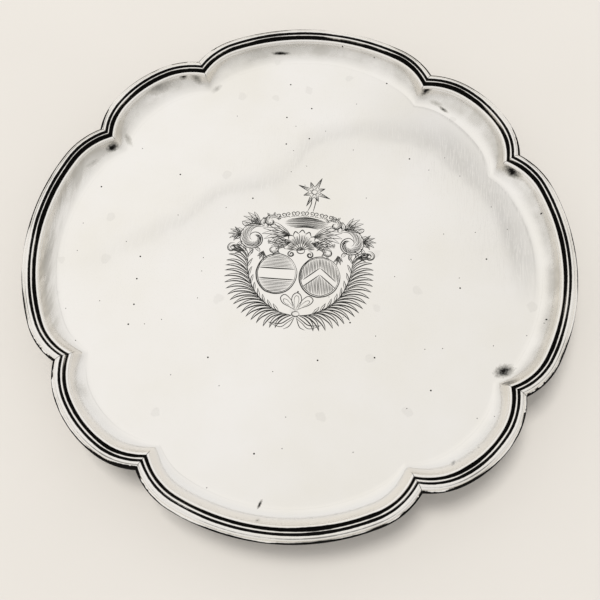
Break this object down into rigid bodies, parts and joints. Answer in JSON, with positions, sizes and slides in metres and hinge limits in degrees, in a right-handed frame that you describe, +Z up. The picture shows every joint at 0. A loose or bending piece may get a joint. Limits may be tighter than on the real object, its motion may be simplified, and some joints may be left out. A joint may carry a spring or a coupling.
{
  "type": "footed salver",
  "caption": "Shallow silver serving tray with a lobed outline, a stepped and mitred moulded border around a flat well, and short splayed feet.",
  "frame": {"origin": "centre of the salver's plan, on the table plane under the feet", "axes": "+Z up out of the well; X and Y through the middles of the long lobes"},
  "size_m": [0.305, 0.305, 0.0325],
  "materials": {
    "raised_silver": "hand-polished sheet silver with soft hammer marks, fine scuffs and small tarnish spots",
    "cast_silver": "polished cast silver with blackened grooves"
  },
  "bodies": {
    "root": {"salver_plate": "raised_silver", "long_border_1": "cast_silver", "long_border_2": "cast_silver", "long_border_3": "cast_silver", "long_border_4": "cast_silver", "short_border_1": "cast_silver", "short_border_2": "cast_silver", "short_border_3": "cast_silver", "short_border_4": "cast_silver", "foot_1": "cast_silver", "foot_2": "cast_silver", "foot_3": "cast_silver", "foot_4": "cast_silver"}
  },
  "joints": []
}
